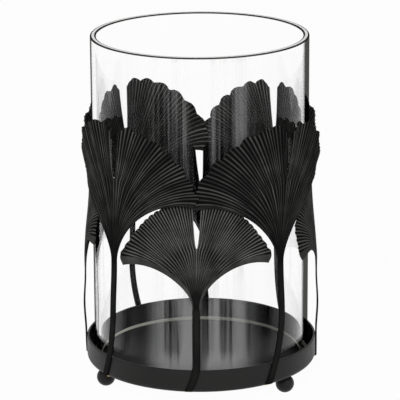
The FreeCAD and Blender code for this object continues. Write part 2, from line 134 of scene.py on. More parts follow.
def clear_glass():
    """Clear drawn soda-lime glass. Its outer skin is given a painted grey shade where the view grazes it, and
    sooner on the +X side. On the front, upright streaks of diffuse white are painted in as reflections, which
    show as faint streaks against dark things and most of all near the tray. Lamp light passes straight
    through."""
    broad_mark, fine_mark, fine_share, drawn_out = 9 * MM, 1.5 * MM, 0.35, 0.02
    dense_below, dense_end, denser = 20 * MM, 30 * MM, 0.15
    sparse_start, sparse_above, sparser = 58 * MM, 72 * MM, -0.125
    band_within, band_end = 16 * MM, 30 * MM
    streaks_start, streaks_full, least_clear = 0.36, 0.58, 0.85
    shade_start, shade_full, right_lead = 0.8, 0.88, 0.14
    skin_radius = (GLASS_OUTER - 0.2) * MM
    material, tree = new_material("soda_lime_glass_drawn_clear")
    place = add(tree, "ShaderNodeTexCoord").outputs["Object"]
    spot = add(tree, "ShaderNodeSeparateXYZ", {0: place}).outputs

    # The painted reflection streaks: strokes in the middle of the front, more of them low down and fewer high
    # up
    upright = add(tree, "ShaderNodeMapping", {"Vector": place, "Scale": (1.0, 1.0, drawn_out)}).outputs[0]
    broad = add(tree, "ShaderNodeTexNoise", {
        "Vector": upright, "Scale": 1 / broad_mark, "Detail": 1.0}).outputs[0]
    fine = add(tree, "ShaderNodeTexNoise", {
        "Vector": upright, "Scale": 1 / fine_mark, "Detail": 1.0}).outputs[0]
    strokes = add(tree, "ShaderNodeMix", {0: fine_share, 2: broad, 3: fine}).outputs[0]
    fewer = add(tree, "ShaderNodeMapRange", {
        0: spot["Z"], 1: sparse_start, 2: sparse_above, 3: 0.0, 4: sparser}).outputs[0]
    strokes = add(tree, "ShaderNodeMath", {0: strokes, 1: fewer}, operation="ADD").outputs[0]
    more = add(tree, "ShaderNodeMapRange", {
        0: spot["Z"], 1: dense_below, 2: dense_end, 3: denser, 4: 0.0}).outputs[0]
    strokes = add(tree, "ShaderNodeMath", {0: strokes, 1: more}, operation="ADD").outputs[0]
    reflection_streaks = add(tree, "ShaderNodeMapRange", {0: strokes, 1: streaks_start, 2: streaks_full, 3: 0.0, 4: 1.0},
               interpolation_type="SMOOTHSTEP").outputs[0]
    off_middle = add(tree, "ShaderNodeMath", {0: spot["X"]}, operation="ABSOLUTE").outputs[0]
    streak_band = add(tree, "ShaderNodeMapRange", {0: off_middle, 1: band_within, 2: band_end, 3: 1.0, 4: 0.0},
                interpolation_type="SMOOTHSTEP").outputs[0]
    reflection_streaks = add(tree, "ShaderNodeMath", {0: reflection_streaks, 1: streak_band}, operation="MULTIPLY").outputs[0]
    at_front = add(tree, "ShaderNodeMath", {0: spot["Y"], 1: 0.0}, operation="LESS_THAN").outputs[0]
    reflection_streaks = add(tree, "ShaderNodeMath", {0: reflection_streaks, 1: at_front}, operation="MULTIPLY").outputs[0]
    # Where the painted reflection streaks lie, the glass lets less through and shows its white base
    clear = add(tree, "ShaderNodeMapRange", {0: reflection_streaks, 1: 0.0, 2: 1.0, 3: 1.0, 4: least_clear}).outputs[0]
    glass = add(tree, "ShaderNodeBsdfPrincipled", {
        "Base Color": linear("#ffffff"), "Roughness": 0.0, "IOR": GLASS_IOR, "Transmission Weight": clear,
        "Specular Tint": linear("#121212")}).outputs[0]

    # The edges and the lamp light: both go straight through, and the edges are greyed as a painted shade for
    # the dark lines the bent view shows there
    grazing = add(tree, "ShaderNodeLayerWeight", {"Blend": 0.5}).outputs["Facing"]
    right_side = add(tree, "ShaderNodeMath", {0: spot["X"], 1: 0.0}, operation="GREATER_THAN").outputs[0]
    grazing = add(tree, "ShaderNodeMath", {0: right_side, 1: right_lead, 2: grazing},
                  operation="MULTIPLY_ADD").outputs[0]
    edge_shade = add(tree, "ShaderNodeMapRange", {0: grazing, 1: shade_start, 2: shade_full, 3: 0.0, 4: 1.0},
               interpolation_type="SMOOTHSTEP").outputs[0]
    level = add(tree, "ShaderNodeVectorMath", {0: place, 1: (1.0, 1.0, 0.0)}, operation="MULTIPLY").outputs[0]
    radius = add(tree, "ShaderNodeVectorMath", {0: level}, operation="LENGTH").outputs["Value"]
    outer_skin = add(tree, "ShaderNodeMath", {0: radius, 1: skin_radius}, operation="GREATER_THAN").outputs[0]
    edge_shade = add(tree, "ShaderNodeMath", {0: edge_shade, 1: outer_skin}, operation="MULTIPLY").outputs[0]
    lamp_ray = add(tree, "ShaderNodeLightPath").outputs["Is Shadow Ray"]
    # Painted shade: the grey that the view passes through at the edges
    tint = add(tree, "ShaderNodeMix", {
        0: lamp_ray, 6: linear("#8e8e8c"), 7: linear("#f4f6f5")}, data_type="RGBA").outputs[2]
    passing = add(tree, "ShaderNodeBsdfTransparent", {"Color": tint}).outputs[0]
    straight = add(tree, "ShaderNodeMath", {0: lamp_ray, 1: edge_shade}, operation="MAXIMUM").outputs[0]
    surface = add(tree, "ShaderNodeMixShader", {0: straight, 1: glass, 2: passing}).outputs[0]
    depth = add(tree, "ShaderNodeVolumeAbsorption", {"Color": linear("#8a9490"), "Density": 2.0}).outputs[0]
    add(tree, "ShaderNodeOutputMaterial", {"Surface": surface, "Volume": depth})
    return material


def worked_glass(name, grain, detail, dark, pale, finish):
    """The tube's glass at its worked ends. Its tone varies along the edge by the size of the grain."""
    material, tree = new_material(name)
    place = add(tree, "ShaderNodeTexCoord").outputs["Object"]
    pits = add(tree, "ShaderNodeTexNoise", {"Vector": place, "Scale": 1 / grain, "Detail": detail}).outputs[0]
    colour = add(tree, "ShaderNodeMix", {
        0: pits, 6: linear(dark), 7: linear(pale)}, data_type="RGBA").outputs[2]
    glass = add(tree, "ShaderNodeBsdfPrincipled", {"Base Color": colour, **finish}).outputs[0]
    add(tree, "ShaderNodeOutputMaterial", {"Surface": glass})
    return material


def weld_bead():
    """A weld bead under a thin coat. Bare steel glints through it in specks, browned by the heat."""
    speck, coat_thin, coat_gone = 1.2 * MM, 0.32, 0.46
    material, tree = new_material("weld_bead_steel_thinly_coated")
    place = add(tree, "ShaderNodeTexCoord").outputs["Object"]
    specks = add(tree, "ShaderNodeTexNoise", {"Vector": place, "Scale": 1 / speck, "Detail": 2.0}).outputs[0]
    bare = add(tree, "ShaderNodeMapRange", {0: specks, 1: coat_thin, 2: coat_gone, 3: 0.0, 4: 1.0}).outputs[0]
    colour = add(tree, "ShaderNodeMix", {
        0: bare, 6: linear("#191412"), 7: linear("#c9b08a")}, data_type="RGBA").outputs[2]
    steel = add(tree, "ShaderNodeBsdfPrincipled", {
        "Base Color": colour, "Metallic": bare, "Roughness": 0.35}).outputs[0]
    add(tree, "ShaderNodeOutputMaterial", {"Surface": steel})
    return material


LEAF_COAT = leaf_coat()
# Semi-gloss, on the outside of the tray and on its feet: it mirrors softly at a low angle
TRAY_COAT = lacquer(
    "lacquer_semi_gloss_black_on_pressed_steel", pool=15 * MM, dark="#141414", pale="#222221",
    smooth=0.4, dull=0.5, peel=1.2 * MM, peel_strength=0.1, mirror=0.2)
# Inside the tray: the tray's black lacquer drawn darker and with a weaker mirror than outside, a painted
# shade for the dim inside. It still mirrors the light between the leaves
SHADED_FLOOR_LACQUER = lacquer(
    "lacquer_black_inside_tray_painted_shade", pool=20 * MM, dark="#080808", pale="#101010",
    smooth=0.35, dull=0.45, peel=2 * MM, peel_strength=0.05, mirror=0.03)
CLEAR_GLASS = clear_glass()
# Ground and left frosted, at the lower end, its near-white partly a painted highlight for the glint there: it
# shows as a pale ring on the tray's floor
FROSTED_GLINT_EDGE = worked_glass(
    "soda_lime_glass_ground_frosted_glint", grain=2 * MM, detail=2.0, dark="#f0ead8", pale="#fffdf6",
    finish={"Roughness": 0.6, "IOR": GLASS_IOR})
# Cut flat and ground to a satin white, along the middle of the rim
SAWN_RIM = worked_glass(
    "soda_lime_glass_cut_satin", grain=1.5 * MM, detail=2.0, dark="#f6f7f6", pale="#ffffff",
    finish={"Roughness": 0.5, "IOR": GLASS_IOR})
# Fire-polished, at the rim's two corners: they bend the view away from the light, so they are drawn dark
POLISHED_CORNER = worked_glass(
    "soda_lime_glass_fire_polished", grain=14 * MM, detail=1.0, dark="#0c0c0c", pale="#504e4c",
    finish={"Roughness": 0.2, "Specular IOR Level": 0.0})
WELD_BEAD = weld_bead()

# Leaves: sizes of the two stampings, on the unrolled sheet, from the top of the stem

SHEET = 0.6
TRAY_RADIUS = 59.0
TRAY_RIM = 21.4
STEM_END = 10.5
STEM_SEAT_RADIUS = 59.32
STEM_HALF = 1.9
STEM_CROWN = 0.25
STEM_BOW = 0.7
MIDRIB_HALF = 0.15
CORNER_START = 0.42
CORNER_DROP = 2.6

# The grid that becomes a leaf is 2 wide and 1 high about its middle. Its lowest quarter becomes the stem,
# whose crown runs out a little way up the blade, and its middle strip becomes the slit.
COLUMNS = 482
ROWS = 72
STEM_TOP = -0.25
CROWN_FULL = STEM_TOP - 0.1
CROWN_GONE = STEM_TOP + 0.15
HALF_STRIP = 1 / (COLUMNS - 1)

# Shares of the way from the stem's top to the margin: where the border's band is first as wide as it stays,
# where the ribs have risen and where they fork, where the blade's lean is full, and where the crests' painted
# highlight starts and is at full strength
BORDER_EVEN = 0.25
RIBS_RISEN = 0.3
RIB_FORKS = ((0.25, 0.4), (0.55, 0.72))
LEAN_FULL = 0.4
HIGHLIGHT_START = 0.15
HIGHLIGHT_FULL = 0.6

# How fine the painted highlight line on a rib is, how fast the pleats flatten towards the stem, how much of
# the painted highlight is left there, how often the highlight and the scallops' depth change across a lobe,
# and the painted highlight down the stem's middle and at its sides
CREST_FINENESS = 3.0
PLEAT_FLATTENING = 1.5
LEAST_HIGHLIGHT = 0.05
HIGHLIGHT_WAVES = 11.0
SCALLOP_WAVES = 9.0
STEM_MIDDLE_HIGHLIGHT = 0.04
STEM_SIDE_HIGHLIGHT = 0.01

LARGE_LEAF = {
    "Stem top": 73.0, "Lobe reach": 49.6, "Wing reach": 51.0, "Fan centre": 21.0,
    "Spread": math.radians(77.5),
    "Midrib low": (MIDRIB_HALF, 23.5, 0.0), "Midrib high": (MIDRIB_HALF, 47.1, 0.0),
    "Border low": (STEM_HALF, 12.5, 0.0), "Border high": (24.0, 37.2, 0.0),
    "Slit floor": 0.623, "Slit mouth": 6.0, "Stem sweep": 7.8, "Stem straight": 25.0,
    "Root radius": 58.42, "Top radius": 60.22, "Wing radius": 57.25, "Wing set": 36.0,
    "Fade start": 31.0, "Fade end": 51.0, "Lean": math.radians(3.5), "Wing lean": math.radians(-1.0),
    "Spiral": 0.0101, "Scallops": 7.0, "Scallop depth": 1.7, "Pleats": 4.0, "Pleat height": 0.7,
    "Ribs": 30.0, "Rib height": 0.4, "Rib highlight": 0.27, "Groove light": 0.0, "Highlight bunching": 0.7,
    "Border width": 0.02, "Border highlight": 0.06, "Turn": 0.0,
}
SMALL_LEAF = {
    **LARGE_LEAF,
    "Stem top": 54.0, "Lobe reach": 43.0, "Wing reach": 40.3, "Fan centre": 11.0,
    "Spread": math.radians(75.0),
    "Midrib low": (MIDRIB_HALF, 18.0, 0.0), "Midrib high": (MIDRIB_HALF, 36.0, 0.0),
    "Border low": (STEM_HALF, 11.0, 0.0), "Border high": (22.0, 26.0, 0.0),
    "Slit floor": 0.565, "Slit mouth": 4.8, "Stem sweep": 4.2, "Stem straight": 28.0,
    "Root radius": 59.32, "Top radius": 55.9, "Wing radius": 62.72, "Wing set": 33.0,
    "Fade start": 23.0, "Fade end": 38.0, "Spiral": 0.0, "Scallops": 14.0, "Scallop depth": 0.6,
    # The small leaves are drawn with a stronger painted highlight on their ribs and border band, for the
    # light they catch
    "Pleats": 3.0, "Pleat height": 0.05, "Rib highlight": 0.52, "Highlight bunching": 0.2,
    "Border width": 0.07, "Border highlight": 0.2,
}

# Each leaf's turn about the lantern, from the front towards +X, and what sets it apart from its stamping
LARGE_PLACES = {
    "front_left": {"Turn": math.radians(-47.5), "Lobe reach": 50.2},
    "front_right": {"Turn": math.radians(42.5), "Rib highlight": 0.24},
    # The back leaves' inner faces get a much stronger painted highlight on their ribs, and painted light in
    # their grooves, for the light they catch
    "back_right": {
        "Turn": math.radians(134.0), "Lobe reach": 51.2, "Rib highlight": 1.1, "Groove light": 0.05},
    "back_left": {
        "Turn": math.radians(-139.5), "Lobe reach": 51.8, "Rib highlight": 1.1, "Groove light": 0.05},
}
SMALL_PLACES = {
    "front": {"Turn": math.radians(-2.3), "Lean": math.radians(0.5), "Wing lean": math.radians(-1.5)},
    "right": {"Turn": math.radians(90.0), "Lean": math.radians(-4.5), "Wing lean": math.radians(-4.5)},
    "back": {
        "Turn": math.radians(178.0), "Lean": math.radians(3.0), "Wing lean": math.radians(-3.5),
        "Lobe reach": 44.0, "Wing reach": 41.3},
    "left": {"Turn": math.radians(-90.0), "Lean": math.radians(-7.5), "Wing lean": math.radians(-7.5)},
}


def leaf_tree():
    """The stamping as a rule. A grid's columns become veins, and its rows run from the stem's foot to the
    scalloped margin. The sheet is pressed into ribs and pleats and bent round the glass."""
    tree = bpy.data.node_groups.new("ginkgo_stamping", "GeometryNodeTree")
    for name, value in LARGE_LEAF.items():
        kind = "NodeSocketVector" if isinstance(value, tuple) else "NodeSocketFloat"
        tree.interface.new_socket(name=name, in_out="INPUT", socket_type=kind)
    tree.interface.new_socket(name="Leaf", in_out="OUTPUT", socket_type="NodeSocketGeometry")
    size = add(tree, "NodeGroupInput").outputs

    # The grid's own places: share runs from the slit (0) to the border (1), along runs from the stem's top
    # (0) to the margin (1), and down runs from the stem's top (0) to its foot (1)
    grid = add(tree, "GeometryNodeMeshGrid", {
        "Size X": 2.0, "Size Y": 1.0, "Vertices X": COLUMNS, "Vertices Y": ROWS}).outputs[0]
    spot = add(tree, "GeometryNodeInputPosition").outputs[0]
    spot = add(tree, "ShaderNodeSeparateXYZ", {0: spot}).outputs
    side = add(tree, "ShaderNodeMath", {0: spot["X"]}, operation="SIGN").outputs[0]
    off_middle = add(tree, "ShaderNodeMath", {0: spot["X"]}, operation="ABSOLUTE").outputs[0]
    share = add(tree, "ShaderNodeMapRange", {0: off_middle, 1: HALF_STRIP, 2: 1.0, 3: 0.0, 4: 1.0}).outputs[0]
    along = add(tree, "ShaderNodeMapRange", {0: spot["Y"], 1: STEM_TOP, 2: 0.5, 3: 0.0, 4: 1.0}).outputs[0]
    down = add(tree, "ShaderNodeMapRange", {0: spot["Y"], 1: -0.5, 2: STEM_TOP, 3: 1.0, 4: 0.0}).outputs[0]
    share_squared = add(tree, "ShaderNodeMath", {0: share, 1: 2.0}, operation="POWER").outputs[0]
    signed_share = add(tree, "ShaderNodeMath", {0: share, 1: side}, operation="MULTIPLY").outputs[0]
    from_border = add(tree, "ShaderNodeMath", {0: 1.0, 1: share}, operation="SUBTRACT").outputs[0]

    # The slit: the middle strip is cut away above the slit's floor
    in_strip = add(tree, "ShaderNodeMath", {0: off_middle, 1: HALF_STRIP}, operation="LESS_THAN").outputs[0]
    above = add(tree, "ShaderNodeMath", {0: along, 1: size["Slit floor"]},
                operation="GREATER_THAN").outputs[0]
    cut = add(tree, "ShaderNodeMath", {0: in_strip, 1: above}, operation="MULTIPLY").outputs[0]
    blank = add(tree, "GeometryNodeDeleteGeometry", {"Geometry": grid, "Selection": cut},
                domain="FACE").outputs[0]

    # The ribs fork twice on their way out: every fourth starts at the stem, then every second, then all
    vein = add(tree, "ShaderNodeMath", {0: share, 1: size["Ribs"]}, operation="MULTIPLY").outputs[0]
    forkings = []
    for merged in (4.0, 2.0, 1.0):
        turn = add(tree, "ShaderNodeMath", {0: vein, 1: math.pi / merged}, operation="MULTIPLY").outputs[0]
        dip = add(tree, "ShaderNodeMath", {0: turn}, operation="SINE").outputs[0]
        dip = add(tree, "ShaderNodeMath", {0: dip}, operation="ABSOLUTE").outputs[0]
        ridge = add(tree, "ShaderNodeMath", {0: 1.0, 1: dip}, operation="SUBTRACT").outputs[0]
        line = add(tree, "ShaderNodeMath", {0: ridge, 1: CREST_FINENESS}, operation="POWER").outputs[0]
        forkings.append((ridge, line))
    rib, crest_highlight = forkings[0]
    for (ridge, line), (start, end) in zip(forkings[1:], RIB_FORKS):
        fork = add(tree, "ShaderNodeMapRange", {0: along, 1: start, 2: end, 3: 0.0, 4: 1.0},
                   interpolation_type="SMOOTHSTEP").outputs[0]
        rib = add(tree, "ShaderNodeMix", {0: fork, 2: rib, 3: ridge}).outputs[0]
        crest_highlight = add(tree, "ShaderNodeMix", {0: fork, 2: crest_highlight, 3: line}).outputs[0]

    # The ribs rise above the stem and stop at the smooth border, a band of about even width
    fanned = add(tree, "ShaderNodeMath", {0: along, 1: BORDER_EVEN}, operation="MAXIMUM").outputs[0]
    border = add(tree, "ShaderNodeMath", {0: size["Border width"], 1: fanned}, operation="DIVIDE").outputs[0]
    inside = add(tree, "ShaderNodeMath", {0: from_border, 1: border}, operation="GREATER_THAN").outputs[0]
    rib = add(tree, "ShaderNodeMath", {0: rib, 1: inside}, operation="MULTIPLY").outputs[0]
    risen = add(tree, "ShaderNodeMapRange", {0: along, 1: 0.0, 2: RIBS_RISEN, 3: 0.0, 4: 1.0},
                interpolation_type="SMOOTHSTEP").outputs[0]
    rib = add(tree, "ShaderNodeMath", {0: rib, 1: risen}, operation="MULTIPLY").outputs[0]

    # The painted highlight for the coat: pale lines along the crests, for light caught on the ribs, in
    # brighter and fainter bunches and stronger far out. The grooves and the border band get painted light of
    # their own, and a faint painted highlight runs down the stem
    highlight_bunch = add(tree, "ShaderNodeTexNoise", {"W": signed_share, "Scale": HIGHLIGHT_WAVES},
                noise_dimensions="1D").outputs[0]
    highlight_bunch = add(tree, "ShaderNodeMapRange", {
        0: highlight_bunch, 1: LINE_NOISE_LOW, 2: LINE_NOISE_HIGH, 3: -1.0, 4: 1.0}).outputs[0]
    highlight_bunch = add(tree, "ShaderNodeMath", {0: highlight_bunch, 1: size["Highlight bunching"], 2: 1.0},
                operation="MULTIPLY_ADD").outputs[0]
    crest_highlight = add(tree, "ShaderNodeMath", {0: crest_highlight, 1: highlight_bunch}, operation="MULTIPLY").outputs[0]
    highlight_strength = add(tree, "ShaderNodeMapRange", {
        0: along, 1: HIGHLIGHT_START, 2: HIGHLIGHT_FULL, 3: LEAST_HIGHLIGHT, 4: 1.0}).outputs[0]
    crest_highlight = add(tree, "ShaderNodeMath", {0: crest_highlight, 1: highlight_strength}, operation="MULTIPLY").outputs[0]
    crest_highlight = add(tree, "ShaderNodeMath", {0: crest_highlight, 1: size["Rib highlight"], 2: size["Groove light"]},
                operation="MULTIPLY_ADD").outputs[0]
    # Painted highlight: the smooth border band is drawn paler, for light along the leaf's lower edges
    crest_highlight = add(tree, "ShaderNodeMix", {0: inside, 2: size["Border highlight"], 3: crest_highlight}).outputs[0]
    on_stem = add(tree, "ShaderNodeMath", {0: down, 1: 0.0}, operation="GREATER_THAN").outputs[0]
    # Painted highlight: the stem is drawn paler down its middle than at its sides, a reflection along the
    # crowned strip
    stem_highlight = add(tree, "ShaderNodeMix", {
        0: share_squared, 2: STEM_MIDDLE_HIGHLIGHT, 3: STEM_SIDE_HIGHLIGHT}).outputs[0]
    crest_highlight = add(tree, "ShaderNodeMix", {0: on_stem, 2: crest_highlight, 3: stem_highlight}).outputs[0]
    blank = add(tree, "GeometryNodeStoreNamedAttribute", {
        "Geometry": blank, "Name": "crest_highlight", "Value": crest_highlight}, data_type="FLOAT", domain="POINT").outputs[0]

    # The margin: an arc about the fan's centre, with scallops of uneven depth and dropped corners
    turns = add(tree, "ShaderNodeMath", {0: share, 1: size["Scallops"]}, operation="MULTIPLY").outputs[0]
    phase = add(tree, "ShaderNodeMath", {0: turns, 1: math.pi}, operation="MULTIPLY").outputs[0]
    bay = add(tree, "ShaderNodeMath", {0: phase}, operation="SINE").outputs[0]
    bay = add(tree, "ShaderNodeMath", {0: bay}, operation="ABSOLUTE").outputs[0]
    uneven = add(tree, "ShaderNodeTexNoise", {"W": signed_share, "Scale": SCALLOP_WAVES},
                 noise_dimensions="1D").outputs[0]
    depth = add(tree, "ShaderNodeMath", {0: uneven, 1: size["Scallop depth"]},
                operation="MULTIPLY").outputs[0]
    drop = add(tree, "ShaderNodeMath", {0: bay, 1: -2.0, 2: 2.0}, operation="MULTIPLY_ADD").outputs[0]
    drop = add(tree, "ShaderNodeMath", {0: drop, 1: depth}, operation="MULTIPLY").outputs[0]
    from_centre = add(tree, "ShaderNodeMath", {0: share, 1: 0.5}, operation="SUBTRACT").outputs[0]
    from_centre = add(tree, "ShaderNodeMath", {0: from_centre}, operation="ABSOLUTE").outputs[0]
    corner = add(tree, "ShaderNodeMapRange", {
        0: from_centre, 1: CORNER_START, 2: 0.5, 3: 0.0, 4: CORNER_DROP},
        interpolation_type="SMOOTHSTEP").outputs[0]
    reach = add(tree, "ShaderNodeMix", {0: share, 2: size["Lobe reach"], 3: size["Wing reach"]}).outputs[0]
    reach = add(tree, "ShaderNodeMath", {0: reach, 1: drop}, operation="SUBTRACT").outputs[0]
    reach = add(tree, "ShaderNodeMath", {0: reach, 1: corner}, operation="SUBTRACT").outputs[0]
    fan_turn = add(tree, "ShaderNodeMath", {0: share, 1: size["Spread"]}, operation="MULTIPLY").outputs[0]
    fan_turn = add(tree, "ShaderNodeMath", {0: fan_turn, 1: -1.0}, operation="MULTIPLY").outputs[0]
    ray = add(tree, "ShaderNodeCombineXYZ", {"Y": reach}).outputs[0]
    ray = add(tree, "ShaderNodeVectorRotate", {"Vector": ray, "Angle": fan_turn},
              rotation_type="Z_AXIS").outputs[0]
    fan_centre = add(tree, "ShaderNodeCombineXYZ", {"Y": size["Fan centre"]}).outputs[0]
    tip = add(tree, "ShaderNodeVectorMath", {0: ray, 1: fan_centre}, operation="ADD").outputs[0]

    # The veins: cubic curves from the stem's top to the margin, each drawn by mixing its four control places
    root = add(tree, "ShaderNodeMix", {
        0: share, 4: (MIDRIB_HALF, 0.0, 0.0), 5: (STEM_HALF, 0.0, 0.0)}, data_type="VECTOR").outputs[1]
    low = add(tree, "ShaderNodeMix", {
        0: share, 4: size["Midrib low"], 5: size["Border low"]}, data_type="VECTOR").outputs[1]
    high = add(tree, "ShaderNodeMix", {
        0: share, 4: size["Midrib high"], 5: size["Border high"]}, data_type="VECTOR").outputs[1]
    controls = [root, low, high, tip]
    while len(controls) > 1:
        controls = [add(tree, "ShaderNodeMix", {0: along, 4: start, 5: end}, data_type="VECTOR").outputs[1]
                    for start, end in zip(controls, controls[1:])]
    flat = add(tree, "ShaderNodeSeparateXYZ", {0: controls[0]}).outputs
    near_slit = add(tree, "ShaderNodeMath", {0: from_border, 1: 2.0}, operation="POWER").outputs[0]
    opened = add(tree, "ShaderNodeMapRange", {
        0: along, 1: size["Slit floor"], 2: 1.0, 3: 0.0, 4: 1.0}).outputs[0]
    opened = add(tree, "ShaderNodeMath", {0: opened, 1: 0.5}, operation="POWER").outputs[0]
    opened = add(tree, "ShaderNodeMath", {0: opened, 1: near_slit}, operation="MULTIPLY").outputs[0]
    half_mouth = add(tree, "ShaderNodeMath", {0: size["Slit mouth"], 1: 0.5}, operation="MULTIPLY").outputs[0]
    x = add(tree, "ShaderNodeMath", {0: opened, 1: half_mouth, 2: flat["X"]},
            operation="MULTIPLY_ADD").outputs[0]
    y = flat["Y"]

    # The lean of the whole blade on its stem
    settled = add(tree, "ShaderNodeMapRange", {0: along, 1: 0.0, 2: LEAN_FULL, 3: 0.0, 4: 1.0},
                  interpolation_type="SMOOTHSTEP").outputs[0]
    lean = add(tree, "ShaderNodeMix", {0: share_squared, 2: size["Lean"], 3: size["Wing lean"]}).outputs[0]
    lean = add(tree, "ShaderNodeMath", {0: lean, 1: settled}, operation="MULTIPLY").outputs[0]
    lean = add(tree, "ShaderNodeMath", {0: lean, 1: -1.0}, operation="MULTIPLY").outputs[0]
    signed_x = add(tree, "ShaderNodeMath", {0: x, 1: side}, operation="MULTIPLY").outputs[0]
    upright = add(tree, "ShaderNodeCombineXYZ", {"X": signed_x, "Y": y}).outputs[0]
    leaning = add(tree, "ShaderNodeVectorRotate", {"Vector": upright, "Angle": lean},
                  rotation_type="Z_AXIS").outputs[0]
    leaning = add(tree, "ShaderNodeSeparateXYZ", {0: leaning}).outputs

    # The bend round the glass: the blade's own radius, and the wings' radius below
    top = add(tree, "ShaderNodeMath", {0: size["Fan centre"], 1: size["Lobe reach"]},
              operation="ADD").outputs[0]
    radius = add(tree, "ShaderNodeMapRange", {
        0: y, 1: 0.0, 2: top, 3: size["Root radius"], 4: size["Top radius"]},
        interpolation_type="SMOOTHSTEP").outputs[0]
    wing = add(tree, "ShaderNodeMapRange", {0: x, 1: 0.0, 2: size["Wing set"], 3: 0.0, 4: 1.0}).outputs[0]
    wing = add(tree, "ShaderNodeMath", {0: wing, 1: 2.0}, operation="POWER").outputs[0]
    fade = add(tree, "ShaderNodeMapRange", {0: y, 1: size["Fade start"], 2: size["Fade end"], 3: 1.0, 4: 0.0},
               interpolation_type="SMOOTHSTEP").outputs[0]
    wing = add(tree, "ShaderNodeMath", {0: wing, 1: fade}, operation="MULTIPLY").outputs[0]
    radius = add(tree, "ShaderNodeMix", {0: wing, 2: radius, 3: size["Wing radius"]}).outputs[0]
    rise_round = add(tree, "ShaderNodeMath", {0: leaning["X"], 1: settled}, operation="MULTIPLY").outputs[0]
    radius = add(tree, "ShaderNodeMath", {0: rise_round, 1: size["Spiral"], 2: radius},
                 operation="MULTIPLY_ADD").outputs[0]

    # The pressing: the fine ribs, and broad pleats that open towards the margin
    radius = add(tree, "ShaderNodeMath", {0: rib, 1: size["Rib height"], 2: radius},
                 operation="MULTIPLY_ADD").outputs[0]
    pleat_turn = add(tree, "ShaderNodeMath", {0: share, 1: size["Pleats"]}, operation="MULTIPLY").outputs[0]
    pleat_turn = add(tree, "ShaderNodeMath", {0: pleat_turn, 1: 2 * math.pi}, operation="MULTIPLY").outputs[0]
    pleat = add(tree, "ShaderNodeMath", {0: pleat_turn}, operation="COSINE").outputs[0]
    pleat = add(tree, "ShaderNodeMath", {0: pleat, 1: size["Pleat height"]}, operation="MULTIPLY").outputs[0]
    inner = add(tree, "ShaderNodeMath", {0: 1.0, 1: share_squared}, operation="SUBTRACT").outputs[0]
    pleat = add(tree, "ShaderNodeMath", {0: pleat, 1: inner}, operation="MULTIPLY").outputs[0]
    open_pleat = add(tree, "ShaderNodeMath", {0: along, 1: PLEAT_FLATTENING}, operation="POWER").outputs[0]
    radius = add(tree, "ShaderNodeMath", {0: pleat, 1: open_pleat, 2: radius},
                 operation="MULTIPLY_ADD").outputs[0]

    # The stem: a crowned strip that bows clear of the rim, sweeps to one side and ends on the tray's wall
    crown = add(tree, "ShaderNodeMapRange", {
        0: spot["Y"], 1: CROWN_FULL, 2: CROWN_GONE, 3: STEM_CROWN, 4: 0.0},
        interpolation_type="SMOOTHSTEP").outputs[0]
    radius = add(tree, "ShaderNodeMath", {0: crown, 1: inner, 2: radius}, operation="MULTIPLY_ADD").outputs[0]
    length = add(tree, "ShaderNodeMath", {0: size["Stem top"], 1: STEM_END}, operation="SUBTRACT").outputs[0]
    fallen = add(tree, "ShaderNodeMath", {0: length, 1: down}, operation="MULTIPLY").outputs[0]
    clear = add(tree, "ShaderNodeMath", {0: size["Stem top"], 1: TRAY_RIM}, operation="SUBTRACT").outputs[0]
    free = add(tree, "ShaderNodeMapRange", {0: fallen, 1: 0.0, 2: clear, 3: 1.0, 4: 0.0}).outputs[0]
    stem_radius = add(tree, "ShaderNodeMapRange", {
        0: free, 1: 0.0, 2: 1.0, 3: STEM_SEAT_RADIUS, 4: size["Root radius"]},
        interpolation_type="SMOOTHSTEP").outputs[0]
    stem_radius = add(tree, "ShaderNodeMath", {0: stem_radius, 1: size["Root radius"]},
                      operation="SUBTRACT").outputs[0]
    radius = add(tree, "ShaderNodeMath", {0: radius, 1: stem_radius}, operation="ADD").outputs[0]
    bow = add(tree, "ShaderNodeMath", {0: free, 1: math.pi}, operation="MULTIPLY").outputs[0]
    bow = add(tree, "ShaderNodeMath", {0: bow}, operation="SINE").outputs[0]
    bow = add(tree, "ShaderNodeMath", {0: bow, 1: 2.0}, operation="POWER").outputs[0]
    radius = add(tree, "ShaderNodeMath", {0: bow, 1: STEM_BOW, 2: radius},
                 operation="MULTIPLY_ADD").outputs[0]
    sweep = add(tree, "ShaderNodeMapRange", {
        0: fallen, 1: size["Stem straight"], 2: length, 3: 0.0, 4: 1.0}).outputs[0]
    sweep = add(tree, "ShaderNodeMath", {0: sweep, 1: 2.0}, operation="POWER").outputs[0]
    sweep = add(tree, "ShaderNodeMath", {0: sweep, 1: size["Stem sweep"]}, operation="MULTIPLY").outputs[0]

